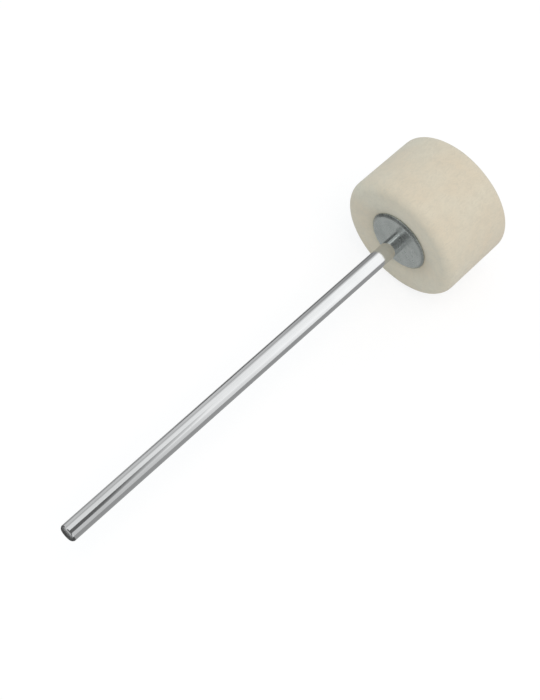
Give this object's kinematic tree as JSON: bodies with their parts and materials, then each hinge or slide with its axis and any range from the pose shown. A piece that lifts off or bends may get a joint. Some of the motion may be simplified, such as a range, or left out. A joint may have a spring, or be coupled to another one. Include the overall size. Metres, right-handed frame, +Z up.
{
  "type": "bass drum beater",
  "caption": "Bass drum pedal beater: a chromed round shaft with a cylindrical pressed-felt head clamped on its end between washers and a nut.",
  "frame": {"origin": "centre of the shaft's free tip, where a pedal hub goes on", "axes": "+X along the shaft from its tip to the felt head, +Z up as the beater is held level by its shaft"},
  "size_m": [0.233, 0.062, 0.062],
  "materials": {
    "chrome": "bright chromium plate",
    "plated_steel": "satin zinc plate",
    "felt": "cream pressed wool felt, brushed surface"
  },
  "bodies": {
    "shaft_assembly": {"shaft": "chrome", "lower_washer": "plated_steel", "upper_washer": "plated_steel", "spring_washer": "plated_steel", "hex_nut": "plated_steel"},
    "head": {"felt_head": "felt"}
  },
  "joints": [
    {"name": "head_turn", "type": "hinge", "parent": "shaft_assembly", "child": "head", "pos_m": [0.2, 0, 0], "axis": [1, 0, 0], "continuous": true}
  ]
}
